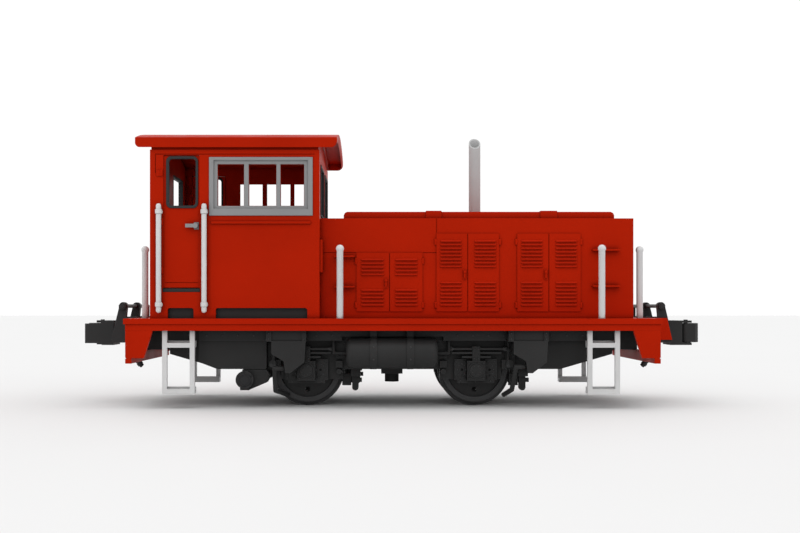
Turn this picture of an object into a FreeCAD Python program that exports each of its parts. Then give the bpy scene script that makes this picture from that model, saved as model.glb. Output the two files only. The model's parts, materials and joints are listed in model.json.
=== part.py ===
import FreeCAD, Part
import math
import os
import re
import Sketcher
from FreeCAD import Vector

# Model diesel shunting locomotive, 1:24 on 45 mm track.  Millimetres.
# +X points to the hood end, +Y to the far side, +Z up.  The origin is on the plane
# that the wheel flanges stand on, under the middle of the locomotive.

SIZES = {
    # Running board, the red plate that carries the bodywork
    "board_half_len": 135.0,
    "board_half_wide": 50.0,
    "board_top": 45.7,
    "board_low": 42.9,
    "skirt_low": 39.6,
    "skirt_out": 49.4,
    "skirt_in": 47.2,
    # Main frame and the gearbox cheeks under it
    "deck_half_len": 131.9,
    "deck_half_wide": 46.5,
    "deck_low": 39.6,
    "cheek_in": 15.0,
    "cheek_out": 18.0,
    "cheek_low": 19.4,
    "cheek_half_len": 60.0,
    "horn_low": 11.5,
    "horn_half_len": 9.0,
    "rib_half_len": 8.0,
    # Running gear
    "axle_mid_x": -0.7,
    "half_wheelbase": 43.5,
    "axle_high": 19.0,
    "axle_rad": 2.0,
    "axle_half_len": 26.6,
    "running_gap": 0.04,
    "bush_rad": 3.5,
    "bush_in": 14.4,
    "bush_out": 18.6,
    "wheel_in": 20.0,
    "wheel_out": 26.0,
    "flange_rad": 19.0,
    "flange_thick": 1.8,
    "tread_rad": 17.0,
    "rim_in_rad": 14.3,
    "hub_rad": 4.5,
    "web_recess": 1.4,
    "wheel_hole_rad": 1.2,
    "wheel_hole_pcr": 10.4,
    # Worm drive
    "gear_module": 0.6,
    "gear_teeth": 20,
    "gear_wide": 4.4,
    "gear_hub_rad": 4.2,
    "worm_pitch_rad": 2.6,
    "worm_half_len": 5.5,
    "shaft_rad": 1.0,
    "shaft_half_len": 59.2,
    "bearing_rad": 3.0,
    "bearing_in": 57.6,
    "bearing_out": 60.0,
    # Motor
    "motor_rad": 10.0,
    "motor_half_high": 8.0,
    "motor_half_len": 16.0,
    "motor_wall": 1.0,
    "armature_rad": 6.4,
    "armature_half_len": 9.0,
    # Cab
    "cab_rear": -122.4,
    "cab_front": -37.0,
    "cab_half_wide": 46.0,
    "cab_wall": 2.0,
    "cab_top": 130.8,
    "door_rear": -115.6,
    "door_front": -97.5,
    "door_low": 61.1,
    "door_high": 128.0,
    "door_gap": 0.2,
    "door_lap": 0.6,
    "leaf_out": 45.4,
    "leaf_in": 43.8,
    "lip_in": 45.5,
    "hinge_x": -116.1,
    "hinge_y": 43.2,
    "hinge_rad": 0.6,
    "handle_x": -99.3,
    "handle_high": 92.4,
    "floor_low": 59.0,
    "sill_rear": -116.1,
    "sill_front": -97.1,
    "step_high": 51.0,
    "pane_rear": -92.6,
    "pane_front": -40.4,
    "pane_low": 97.5,
    "pane_high": 127.0,
    "pane_pocket": 1.2,
    "pane_proud": 0.5,
    "end_pane_mid": 21.5,
    "end_pane_half": 15.0,
    "end_pane_low": 98.0,
    "end_pane_high": 124.5,
    "seal_wide": 1.3,
    "pane_corner": 2.6,
    # Roof
    "roof_rear": -129.6,
    "roof_front": -28.1,
    "roof_half_wide": 47.5,
    "roof_low": 131.8,
    "roof_eave": 136.7,
    "roof_rise": 6.7,
    "roof_sheet": 1.6,
    "roof_rim": 1.0,
    # Hood
    "hood_front": 123.3,
    "hood_half_wide": 37.0,
    "hood_top": 96.9,
    "hood_wall": 2.0,
    "cover_rear": -25.2,
    "cover_front": 114.3,
    "cover_half_wide": 33.0,
    "cover_top": 100.6,
    "panel_thick": 0.5,
    "panel_low": 49.2,
    "exhaust_x": 45.2,
    "exhaust_rad": 3.15,
    "exhaust_bore": 2.45,
    "exhaust_top": 143.7,
    # Side frames
    "frame_in": 29.0,
    "frame_out": 31.5,
    "solebar_out": 38.0,
    "solebar_low": 34.3,
    "guide_out": 33.5,
    "box_out": 37.0,
    "lid_out": 38.2,
    "lid_rad": 3.2,
    "collar_rad": 4.1,
    "sandbox_in": 39.0,
    "sandbox_out": 46.0,
    "tank_mid_y": 40.5,
    "tank_rad": 7.6,
    "tank_high": 28.2,
    "tank_mid_x": -0.4,
    "tank_half_len": 23.2,
    "strap_thick": 0.8,
    "fuel_tank_out": 36.8,
    "pipe_rad": 1.25,
    # Ends and couplers
    "pilot_end": 134.1,
    "headstock_in": 131.9,
    "headstock_low": 34.7,
    "mouth_half": 13.5,
    "beam_in": 131.0,
    "beam_low": 23.1,
    "beam_high": 28.5,
    "gusset_in": 14.5,
    "gusset_out": 17.5,
    "lever_x": 142.5,
    "lever_high": 52.0,
    "lever_rad": 1.0,
    "hose_y": 12.7,
    "hose_rad": 1.2,
    "coupler_pivot": 124.0,
    "pivot_rad": 2.0,
    "shank_half": 3.0,
    "shank_low": 33.8,
    "shank_high": 38.8,
    "head_in": 150.0,
    "head_front": 156.5,
    "head_half": 7.5,
    "head_low": 31.0,
    "head_high": 44.2,
    "knuckle_x": 159.0,
    "knuckle_y": -5.0,
    "knuckle_rad": 2.4,
    "knuckle_low": 32.4,
    "knuckle_high": 42.9,
    "coupler_end": 165.5,
    # Rails, posts and ladders
    "rail_y": 48.2,
    "rail_rad": 1.3,
    "rail_low": 49.8,
    "rail_high": 102.2,
    "post_rad": 1.65,
    "post_ball": 2.0,
    "post_high": 80.8,
    "ladder_in": 40.5,
    "ladder_out": 46.0,
    "ladder_half": 8.2,
    "stile_wide": 2.5,
    "ladder_low": 7.7,
    "rung_thick": 2.4,
    "rung_high": 31.0,
    # Screws
    "screw_rad": 1.25,
    "screw_head": 2.3,
    "screw_x": 84.0,
    "screw_y": 22.0,
    # Lamps
    "lamp_rad": 3.0,
    "lamp_proud": 0.5,
}

doc = FreeCAD.newDocument("shunter")
sheet = doc.addObject("Spreadsheet::Sheet", "Sizes")
for row, (alias, value) in enumerate(SIZES.items(), start=1):
    sheet.set("A%d" % row, alias)
    sheet.set("B%d" % row, str(value))
    sheet.setAlias("B%d" % row, alias)
doc.recompute()

subparts = []
counter = {"made": 0}


# ---- helpers -------------------------------------------------------------------

def formula(text):
    """Turn a formula over size names into an expression over the sheet's cells."""
    return re.sub(r"[A-Za-z_]\w*",
                  lambda word: "Sizes." + word.group(0) if word.group(0) in SIZES else word.group(0),
                  str(text))


def size(text):
    """Value in millimetres of a formula over size names, worked out by the sheet."""
    probe.set("A1", "=" + formula(text))
    probe.recompute()
    return float(probe.get("A1"))


probe = doc.addObject("Spreadsheet::Sheet", "Probe")


def bind(obj, prop, text):
    """Drive one property of an object from the sheet."""
    obj.setExpression(prop, formula(text))


def new_name(kind):
    """A fresh internal name for a helper object."""
    counter["made"] += 1
    return "%s_%03d" % (kind, counter["made"])


def block(x, y, z):
    """A box between two limits on each axis; each limit is a formula."""
    box = doc.addObject("Part::Box", new_name("block"))
    for prop, axis, limits in (("Length", "x", x), ("Width", "y", y), ("Height", "z", z)):
        bind(box, prop, "(%s) - (%s)" % (limits[1], limits[0]))
        bind(box, "Placement.Base." + axis, "(%s)" % limits[0])
    return box


AXIS_TURN = {"x": (Vector(0, 1, 0), 90), "y": (Vector(1, 0, 0), -90), "z": (Vector(0, 0, 1), 0)}


def rod(axis, start, radius, length):
    """A round bar from a start point along +axis."""
    bar = doc.addObject("Part::Cylinder", new_name("rod"))
    bar.Placement = FreeCAD.Placement(Vector(0, 0, 0), FreeCAD.Rotation(*AXIS_TURN[axis]))
    bind(bar, "Radius", radius)
    bind(bar, "Height", length)
    for letter, text in zip("xyz", start):
        bind(bar, "Placement.Base." + letter, "(%s)" % text)
    return bar


def ball(centre, radius):
    """A sphere."""
    sphere = doc.addObject("Part::Sphere", new_name("ball"))
    bind(sphere, "Radius", radius)
    for letter, text in zip("xyz", centre):
        bind(sphere, "Placement.Base." + letter, "(%s)" % text)
    return sphere


def join(*pieces):
    """Fuse pieces into one."""
    union = doc.addObject("Part::MultiFuse", new_name("join"))
    union.Shapes = list(pieces)
    union.Refine = True
    return union


def cut(base, *tools):
    """Take tools away from a base."""
    result = doc.addObject("Part::Cut", new_name("cut"))
    result.Base = base
    result.Tool = tools[0] if len(tools) == 1 else group(*tools)
    return result


def common(first, second):
    """Keep what two pieces share."""
    result = doc.addObject("Part::MultiCommon", new_name("common"))
    result.Shapes = [first, second]
    return result


def group(*pieces):
    """Separate solids kept together."""
    compound = doc.addObject("Part::Compound", new_name("group"))
    compound.Links = list(pieces)
    return compound


def mirrored(piece, normal=(0, 1, 0)):
    """The same piece on the other side of the origin plane with this normal."""
    copy = doc.addObject("Part::Mirroring", new_name("mirror"))
    copy.Source = piece
    copy.Normal = Vector(*normal)
    return copy


def turned(piece):
    """The same piece turned half round about the vertical axis."""
    return mirrored(mirrored(piece), (1, 0, 0))


def both_sides(piece):
    """A piece and its mirror image across the middle plane."""
    return group(piece, mirrored(piece))


def outline_body(plane, points, low, high, round_edges=None):
    """Pad an outline; on XZ it spans y = -high to -low, on XY z = low to high."""
    body = doc.addObject("PartDesign::Body", new_name("body"))
    origin_plane = [item for item in body.Origin.OriginFeatures if item.Role == plane + "_Plane"][0]
    sketch = body.newObject("Sketcher::SketchObject", new_name("sketch"))
    sketch.AttachmentSupport = (origin_plane, "")
    sketch.MapMode = "FlatFace"
    corners = [Vector(size(u), size(v), 0) for u, v in points]
    last = len(corners)
    for index in range(last):
        sketch.addGeometry(Part.LineSegment(corners[index], corners[(index + 1) % last]))
    for index in range(last):
        sketch.addConstraint(Sketcher.Constraint("Coincident", index, 2, (index + 1) % last, 1))
    for index, corner in enumerate(points):
        for kind, value, text in (("DistanceX", corners[index].x, corner[0]),
                                  ("DistanceY", corners[index].y, corner[1])):
            number = sketch.addConstraint(Sketcher.Constraint(kind, -1, 1, index, 1, value))
            if re.search("[a-z]", str(text)):
                sketch.setExpression("Constraints[%d]" % number, formula(text))
    bind(sketch, "AttachmentOffset.Base.z", low)
    pad = body.newObject("PartDesign::Pad", new_name("pad"))
    pad.Profile = sketch
    bind(pad, "Length", "(%s) - (%s)" % (high, low))
    body.Tip = pad
    if round_edges:
        doc.recompute()
        round_upright(body, pad, plane, round_edges)
    return body


def round_upright(body, pad, plane, radius):
    """Round the pad's edges that run along its own direction."""
    along = Vector(0, 1, 0) if plane == "XZ" else Vector(0, 0, 1)
    names = []
    for number, edge in enumerate(pad.Shape.Edges, start=1):
        if len(edge.Vertexes) == 2:
            run = edge.Vertexes[1].Point - edge.Vertexes[0].Point
            if run.cross(along).Length < 1e-6:
                names.append("Edge%d" % number)
    fillet = body.newObject("PartDesign::Fillet", new_name("fillet"))
    fillet.Base = (pad, names)
    bind(fillet, "Radius", radius)
    body.Tip = fillet


def pane(x, z, low, high, radius):
    """A round-cornered slab in the side plane, between two depths from the middle."""
    points = [(x[0], z[0]), (x[1], z[0]), (x[1], z[1]), (x[0], z[1])]
    return outline_body("XZ", points, low, high, radius)


def drawn(name_kind, shape):
    """A shape worked out from the sheet's sizes, kept as a feature of the document."""
    feature = doc.addObject("Part::Feature", new_name(name_kind))
    feature.Shape = shape
    return feature


def tube_along(points, radius):
    """A bent round bar through a few points, with rounded knees."""
    knots = [Vector(*[size(value) for value in point]) for point in points]
    shape = None
    for start, end in zip(knots, knots[1:]):
        run = Part.makeCylinder(size(radius), (end - start).Length, start, end - start)
        shape = run if shape is None else shape.fuse(run)
    for knee in knots[1:-1]:
        shape = shape.fuse(Part.makeSphere(size(radius), knee))
    return drawn("tube", shape)


def subpart(label, piece):
    """Name one finished piece of the model."""
    piece.Label = label
    subparts.append(piece)


# ---- running board and frame -----------------------------------------------------

def screw_spots():
    """The four places where screws hold the running board to the frame."""
    return [(sx + "screw_x", sy + "screw_y") for sx in ("", "-") for sy in ("", "-")]


def running_board():
    slab = block(("-board_half_len", "board_half_len"), ("-board_half_wide", "board_half_wide"),
                 ("board_low", "board_top"))
    skirt = block(("-pilot_end", "pilot_end"), ("-skirt_out", "-skirt_in"), ("skirt_low", "board_low"))
    plate = join(slab, skirt, mirrored(skirt))
    holes = [rod("z", (x, y, "board_low"), "screw_rad", "2") for x, y in screw_spots()]
    subpart("running_board", cut(plate, *holes))


def gearbox_cheek():
    """One long wall beside the motor, with deeper horns that hold the axle bushes."""
    wall = block(("-cheek_half_len", "cheek_half_len"), ("-cheek_out", "-cheek_in"),
                 ("cheek_low", "deck_low"))
    horns = [block(("%s - horn_half_len" % axle, "%s + horn_half_len" % axle),
                   ("-cheek_out", "-cheek_in"), ("horn_low", "cheek_low")) for axle in AXLES]
    return [wall] + horns


REAR_AXLE = "(axle_mid_x - half_wheelbase)"
FRONT_AXLE = "(axle_mid_x + half_wheelbase)"
AXLES = (REAR_AXLE, FRONT_AXLE)
SHAFT_HIGH = "(axle_high + gear_module * gear_teeth / 2 + worm_pitch_rad)"


def main_frame():
    deck = block(("-deck_half_len", "deck_half_len"), ("-deck_half_wide", "deck_half_wide"),
                 ("deck_low", "board_low"))
    cheek = join(*gearbox_cheek())
    end_wall = block(("bearing_in", "bearing_out"), ("-cheek_in", "cheek_in"),
                     (SHAFT_HIGH + " - 5", "deck_low"))
    rib = block(("-rib_half_len", "rib_half_len"), ("-cheek_in", "-motor_rad"),
                (SHAFT_HIGH + " - 2.5", SHAFT_HIGH + " + 2.5"))
    saddle = block(("-rib_half_len", "rib_half_len"), ("-rib_half_len", "rib_half_len"),
                   (SHAFT_HIGH + " + motor_half_high", "deck_low"))
    pocket = block(("117", "deck_half_len"), ("-9", "9"), ("28.6", "deck_low"))
    pocket_room = block(("118.5", "deck_half_len + 1"), ("-6.6", "6.6"), ("31.6", "deck_low"))
    pin = rod("z", ("coupler_pivot", "0", "31"), "pivot_rad", "deck_low - 31")
    front_pocket = join(cut(pocket, pocket_room), pin)
    frame = join(deck, cheek, mirrored(cheek), end_wall, mirrored(end_wall, (1, 0, 0)),
                 rib, mirrored(rib), saddle, front_pocket, turned(front_pocket))
    holes = [rod("z", (x, y, "deck_low - 1"), "screw_rad", "6") for x, y in screw_spots()]
    for axle in AXLES:
        holes.append(rod("y", (axle, "-cheek_out - 1", "axle_high"), "bush_rad", "2 * cheek_out + 2"))
        holes.append(block((axle + " - bush_rad", axle + " + bush_rad"),
                           ("-cheek_out - 1", "cheek_out + 1"), ("horn_low - 1", "axle_high")))
    holes.append(rod("x", ("-bearing_out - 1", "0", SHAFT_HIGH), "bearing_rad", "2 * bearing_out + 2"))
    subpart("main_frame", cut(frame, *holes))


def body_screws():
    screws = []
    for x, y in screw_spots():
        head = rod("z", (x, y, "deck_low - 1.8"), "screw_head", "1.8")
        shank = rod("z", (x, y, "deck_low"), "screw_rad", "5.2")
        slot = block((x + " - 1.8", x + " + 1.8"), (y + " - 0.3", y + " + 0.3"),
                     ("deck_low - 2", "deck_low - 1.1"))
        screws.append(cut(join(head, shank), slot))
    subpart("body_screws", group(*screws))


def gearbox_covers():
    """Bottom covers: one keeper under each axle and a sump with a display screw hole."""
    plates = []
    for axle in AXLES:
        plate = block((axle + " - horn_half_len", axle + " + horn_half_len"),
                      ("-cheek_out", "cheek_out"), ("horn_low - 1.8", "horn_low"))
        tongue = block((axle + " - bush_rad", axle + " + bush_rad"), ("cheek_in", "cheek_out"),
                       ("horn_low", "axle_high - bush_rad - 0.3"))
        plates.append(join(plate, tongue, mirrored(tongue)))
    flange = block(("-5.8", "5.5"), ("-cheek_out", "cheek_out"), ("cheek_low - 3.2", "cheek_low"))
    barrel = rod("z", ("0", "0", "11"), "3.8", "cheek_low - 11")
    hole = rod("z", ("0", "0", "10.9"), "screw_rad", "5.1")
    subpart("gearbox_covers", group(cut(join(flange, barrel), hole), *plates))


# ---- running gear and drive --------------------------------------------------------

def turned_ring(x, outer, inner, low, high):
    """A ring about an axle, between two places across the track."""
    solid = rod("y", (x, low, "axle_high"), outer, "(%s) - (%s)" % (high, low))
    hole = rod("y", (x, "(%s) - 1" % low, "axle_high"), inner, "(%s) - (%s) + 2" % (high, low))
    return cut(solid, hole)


def wheel(x):
    """The far wheel of a pair: flange, tread, dished web with four holes, and hub."""
    flange = rod("y", (x, "wheel_in", "axle_high"), "flange_rad", "flange_thick")
    tread = rod("y", (x, "wheel_in", "axle_high"), "tread_rad", "wheel_out - wheel_in")
    dish = turned_ring(x, "rim_in_rad", "hub_rad", "wheel_out - web_recess", "wheel_out + 1")
    bore = rod("y", (x, "wheel_in - 1", "axle_high"), "axle_rad", "wheel_out - wheel_in + 2")
    cuts = [dish, bore]
    for side in ("+", "-"):
        cuts.append(rod("y", (x, "wheel_in - 1", "axle_high %s wheel_hole_pcr" % side),
                        "wheel_hole_rad", "8"))
        cuts.append(rod("y", ("%s %s wheel_hole_pcr" % (x, side), "wheel_in - 1", "axle_high"),
                        "wheel_hole_rad", "8"))
    return cut(join(flange, tread), *cuts)


def worm_wheel_shape():
    """Teeth slanted at the worm's lead angle, with a gap between teeth at the top for the thread."""
    module = size("gear_module")
    teeth = int(size("gear_teeth"))
    pitch_rad = module * teeth / 2
    root = pitch_rad - 1.25 * module
    tip = pitch_rad + 0.95 * module
    half_wide = size("gear_wide") / 2
    slant = size("gear_module") / 2 / size("worm_pitch_rad") * half_wide / pitch_rad
    sections = []
    for side in (-1, 1):
        corners = []
        for radius, half_angle in ((root - 0.2, 0.33), (pitch_rad, 0.19), (tip, 0.10)):
            corners.append((radius, half_angle * 2 * math.pi / teeth))
        ring = [(r, -a) for r, a in corners] + [(r, a) for r, a in reversed(corners)]
        turn = -side * slant
        points = [Vector(r * math.sin(a + turn), side * half_wide, -r * math.cos(a + turn))
                  for r, a in ring]
        sections.append(Part.makePolygon(points + points[:1]))
    tooth = Part.makeLoft(sections, True, True)
    blank = Part.makeCylinder(root, 2 * half_wide, Vector(0, -half_wide, 0), Vector(0, 1, 0))
    ring_of_teeth = []
    for number in range(teeth):
        copy = tooth.copy()
        copy.rotate(Vector(0, 0, 0), Vector(0, 1, 0), (number + 0.5) * 360.0 / teeth)
        ring_of_teeth.append(copy)
    gear = blank.multiFuse(ring_of_teeth)
    for side in (-1, 1):
        gear = gear.fuse(Part.makeCylinder(size("gear_hub_rad"), 3, Vector(0, side * half_wide, 0),
                                           Vector(0, side, 0)))
    bore = Part.makeCylinder(size("axle_rad"), 30, Vector(0, -15, 0), Vector(0, 1, 0))
    return gear.cut(bore)


def worm_shape():
    """A single-start thread on a core, along +X, starting its turn at x = 0."""
    pitch = math.pi * size("gear_module")
    pitch_rad = size("worm_pitch_rad")
    module = size("gear_module")
    core_rad = pitch_rad - 1.2 * module
    tip_rad = pitch_rad + 0.9 * module
    half_len = size("worm_half_len")
    turns = math.floor(2 * (half_len - 0.8) / pitch)
    height = turns * pitch
    helix = Part.makeHelix(pitch, height, pitch_rad)
    flank = [(core_rad - 0.15, 0.33), (tip_rad, 0.12)]
    corners = [Vector(r, 0, -w * pitch) for r, w in flank]
    corners += [Vector(r, 0, w * pitch) for r, w in reversed(flank)]
    profile = Part.makePolygon(corners + corners[:1])
    thread = Part.Wire(helix.Edges).makePipeShell([profile], True, True)
    thread.translate(Vector(0, 0, -height / 2))
    core = Part.makeCylinder(core_rad, 2 * half_len, Vector(0, 0, -half_len))
    worm = core.fuse(thread).cut(Part.makeCylinder(size("shaft_rad"), 40, Vector(0, 0, -20)))
    worm.rotate(Vector(0, 0, 0), Vector(0, 1, 0), 90)
    return worm


def wheelset(end, x):
    axle = rod("y", (x, "-axle_half_len", "axle_high"), "axle_rad", "2 * axle_half_len")
    subpart(end + "_axle", axle)
    subpart(end + "_wheels", both_sides(wheel(x)))
    gear = drawn("gear", worm_wheel_shape())
    bind(gear, "Placement.Base.x", x)
    bind(gear, "Placement.Base.z", "axle_high")
    subpart(end + "_worm_wheel", gear)


def bushes_and_bearings():
    bushes = []
    for x in AXLES:
        bushes.append(both_sides(turned_ring(x, "bush_rad", "axle_rad + running_gap",
                                             "bush_in", "bush_out")))
    sleeve = rod("x", ("bearing_in", "0", SHAFT_HIGH), "bearing_rad", "bearing_out - bearing_in")
    hole = rod("x", ("bearing_in - 1", "0", SHAFT_HIGH), "shaft_rad + running_gap", "9")
    bearing = cut(sleeve, hole)
    subpart("bushes", group(bearing, mirrored(bearing, (1, 0, 0)), *bushes))


def motor():
    can = rod("x", ("-motor_half_len", "0", SHAFT_HIGH), "motor_rad", "2 * motor_half_len")
    flats = block(("-motor_half_len", "motor_half_len"), ("-motor_rad", "motor_rad"),
                  (SHAFT_HIGH + " - motor_half_high", SHAFT_HIGH + " + motor_half_high"))
    room_rad = "(motor_half_high - motor_wall)"
    room = rod("x", ("-motor_half_len + motor_wall", "0", SHAFT_HIGH), room_rad,
               "2 * (motor_half_len - motor_wall)")
    hole = rod("x", ("-motor_half_len - 1", "0", SHAFT_HIGH), "shaft_rad + running_gap",
               "2 * motor_half_len + 2")
    subpart("motor_can", cut(common(can, flats), room, hole))
    core = rod("x", ("-armature_half_len", "0", SHAFT_HIGH), "armature_rad", "2 * armature_half_len")
    commutator = rod("x", ("armature_half_len", "0", SHAFT_HIGH), "3", "4")
    slots = [block(("-armature_half_len - 1", "armature_half_len"), (y, y + " + 1"),
                   (SHAFT_HIGH + " + 3.4", SHAFT_HIGH + " + 7")) for y in ("-0.5", "-4.6", "3.6")]
    bore = rod("x", ("-20", "0", SHAFT_HIGH), "shaft_rad", "40")
    subpart("motor_armature", cut(join(core, commutator), bore, *slots))
    subpart("motor_shaft", rod("x", ("-shaft_half_len", "0", SHAFT_HIGH), "shaft_rad",
                               "2 * shaft_half_len"))
    for end, x in (("rear", REAR_AXLE), ("front", FRONT_AXLE)):
        worm = drawn("worm", worm_shape())
        bind(worm, "Placement.Base.x", x)
        bind(worm, "Placement.Base.z", SHAFT_HIGH)
        subpart(end + "_worm", worm)


# ---- cab ---------------------------------------------------------------------------

ARCH_RAD = "((roof_half_wide * roof_half_wide + roof_rise * roof_rise) / (2 * roof_rise))"


def roof_arch(eave):
    """A long cylinder whose top arches by the roof's rise above a height at the eaves."""
    return rod("x", ("roof_rear - 1", "0", "%s + roof_rise - %s" % (eave, ARCH_RAD)), ARCH_RAD,
               "roof_front - roof_rear + 2")


DOOR_HINGES = ("70", "94.5", "119")


def cab_hinges():
    """Fixed knuckles on the near wall's inner face, above and below each door knuckle."""
    knuckles = []
    for high in DOOR_HINGES:
        for low in ("%s - 3.2" % high, "%s + 1.6" % high):
            knuckle = rod("z", ("hinge_x", "-hinge_y", low), "hinge_rad - 0.05", "1.6")
            leg = block(("hinge_x - 1.8", "hinge_x - 0.2"),
                        ("-cab_half_wide + cab_wall - 0.1", "-hinge_y"), (low, low + " + 1.6"))
            knuckles.append(join(knuckle, leg))
    return knuckles


def cab_body():
    outer = block(("cab_rear", "cab_front"), ("-cab_half_wide", "cab_half_wide"),
                  ("board_top", "cab_top"))
    neck = block(("cab_rear + 0.6", "cab_front - 0.6"), ("-cab_half_wide + 0.6", "cab_half_wide - 0.6"),
                 ("cab_top", "roof_low + roof_rise"))
    room = block(("cab_rear + cab_wall", "cab_front - cab_wall"),
                 ("-cab_half_wide + cab_wall", "cab_half_wide - cab_wall"),
                 ("board_top - 1", "roof_low + roof_rise + 1"))
    doorway = block(("door_rear - door_lap - 0.3", "door_front + door_lap + 0.3"),
                    ("-lip_in", "-cab_half_wide + cab_wall + 1"), ("door_low", "door_high"))
    door_edge = block(("door_rear", "door_front"), ("-cab_half_wide - 1", "-lip_in + 0.1"),
                      ("door_low", "door_high"))
    sill = block(("sill_rear", "sill_front"), ("-cab_half_wide - 1", "-cab_half_wide + cab_wall + 1"),
                 ("floor_low", "door_low"))
    pocket = block(("pane_rear", "pane_front"), ("-cab_half_wide - 1", "-cab_half_wide + pane_pocket"),
                   ("pane_low", "pane_high"))
    groove_top = block(("-119.8", "-39.5"), ("-cab_half_wide - 1", "-cab_half_wide + 0.3"),
                       ("128.3", "128.7"))
    groove_side = block(("-119.8", "-119.4"), ("-cab_half_wide - 1", "-cab_half_wide + 0.3"),
                        ("119", "128.7"))
    steps = []
    for low, high in (("-113.5", "-100.4"), ("-89.3", "-43.1")):
        steps.append(pane((low, high), ("board_top - 3", "step_high"),
                          "cab_half_wide - cab_wall - 1", "cab_half_wide + 1", "1.2"))
    lights = [block(limits, ("-cab_half_wide - 1", "-cab_half_wide + cab_wall + 1"), ("102.6", "123.3"))
              for limits in SIDE_LIGHTS]
    side_cuts = [doorway, door_edge, sill, pocket, groove_top, groove_side] + steps + lights
    far_cuts = [mirrored(piece) for piece in side_cuts]
    end_cuts = [end_window(side, wall, "end_pane_half") for side in ("-", "") for wall in END_WALLS]
    vent = block(("cab_front", "cab_front + 1.4"), ("-45", "-38.5"), ("69", "85.5"))
    shell = cut(join(outer, common(neck, roof_arch("roof_low"))), room,
                *(side_cuts + far_cuts + end_cuts))
    hinges = cab_hinges()
    subpart("cab_body", join(shell, vent, *(hinges + [mirrored(hinge) for hinge in hinges])))


SIDE_LIGHTS = (("-88.2", "-75.2"), ("-72.5", "-58.9"), ("-56.5", "-44.9"))
END_WALLS = ("cab_rear", "cab_front")


def end_window(side, wall, half):
    """A block through an end wall, on one side of the middle."""
    middle = "%send_pane_mid" % side
    return block((wall + " - 3", wall + " + 3"), (middle + " - " + half, middle + " + " + half),
                 ("end_pane_low", "end_pane_high"))


def end_window_seals():
    """Black rubber rings in the four end windows, standing a little proud."""
    seals = []
    for wall, low, high in (("cab_rear", "-0.5", "cab_wall"), ("cab_front", "-cab_wall", "0.5")):
        for side in ("-", ""):
            middle = "%send_pane_mid" % side
            ring = block((wall + " + (" + low + ")", wall + " + (" + high + ")"),
                         (middle + " - end_pane_half", middle + " + end_pane_half"),
                         ("end_pane_low", "end_pane_high"))
            hole = block((wall + " - 4", wall + " + 4"),
                         (middle + " - end_pane_half + seal_wide", middle + " + end_pane_half - seal_wide"),
                         ("end_pane_low + seal_wide", "end_pane_high - seal_wide"))
            seals.append(cut(ring, hole))
    subpart("end_window_seals", group(*seals))


def side_windows():
    """Grey window units: a proud outer frame, a set-back sash and two upright bars."""
    outer = block(("pane_rear", "pane_front"),
                  ("-cab_half_wide - pane_proud", "-cab_half_wide + pane_pocket"),
                  ("pane_low", "pane_high"))
    face_hole = block(("-90.3", "-42.8"), ("-cab_half_wide - 2", "-cab_half_wide + 0.2"),
                      ("101", "125.4"))
    lights = [block((limits[0] + " - 0.2", limits[1] + " + 0.2"),
                    ("-cab_half_wide - 2", "-cab_half_wide + 2"), ("102.4", "123.5"))
              for limits in SIDE_LIGHTS]
    near = cut(outer, face_hole, *lights)
    subpart("side_window_right", near)
    subpart("side_window_left", mirrored(near))


def cab_floor():
    """Black tub: the raised floor, its sills in the doorways and the wall below it."""
    inner = "cab_half_wide - cab_wall"
    floor = block(("cab_rear + cab_wall", "cab_front - cab_wall"), ("-(%s)" % inner, inner),
                  ("floor_low", "door_low - 0.3"))
    sill = block(("sill_rear", "sill_front"), ("-cab_half_wide + 0.2", "-(%s)" % inner),
                 ("floor_low", "door_low - 0.3"))
    wall = block(("cab_rear + cab_wall", "cab_front - cab_wall"), ("-(%s)" % inner, "-(%s) + 1.2" % inner),
                 ("board_top", "floor_low"))
    subpart("cab_floor", join(floor, sill, mirrored(sill), wall, mirrored(wall)))


def cab_roof():
    """An arched roof, rounded at the rear, rolled at the front, hollow under both overhangs."""
    slab = block(("roof_rear", "roof_front"), ("-roof_half_wide", "roof_half_wide"),
                 ("roof_low", "roof_eave + roof_rise"))
    sheet = cut(common(slab, roof_arch("roof_eave")), roof_arch("roof_low"))
    doc.recompute()
    edges = []
    for number, edge in enumerate(sheet.Shape.Edges, start=1):
        box = edge.BoundBox
        if box.XLength < 0.01 and box.YLength > 60:
            on_top = box.ZMax > size("roof_eave + roof_rise / 2")
            rear = box.XMin < size("cab_rear")
            radius = 2.3 if rear else (1.0 if on_top else 3.2)
            edges.append((number, radius, radius))
    rolled = doc.addObject("Part::Fillet", new_name("fillet"))
    rolled.Base = sheet
    rolled.Edges = edges
    hollows = []
    for limits in (("cab_front + 0.3", "roof_front - roof_rim"), ("roof_rear + 2.5", "cab_rear - 0.3")):
        bay = block(limits, ("-roof_half_wide + roof_rim", "roof_half_wide - roof_rim"),
                    ("roof_low - 1", "roof_eave + roof_rise"))
        hollows.append(common(bay, roof_arch("roof_eave - roof_sheet")))
    subpart("cab_roof", cut(rolled, *hollows))


DOOR_PANE = (("-114.3", "-98.2"), ("101.3", "127.5"))
DOOR_LIGHT = (("-112.9", "-99.4"), ("102.6", "126.2"))


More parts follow.
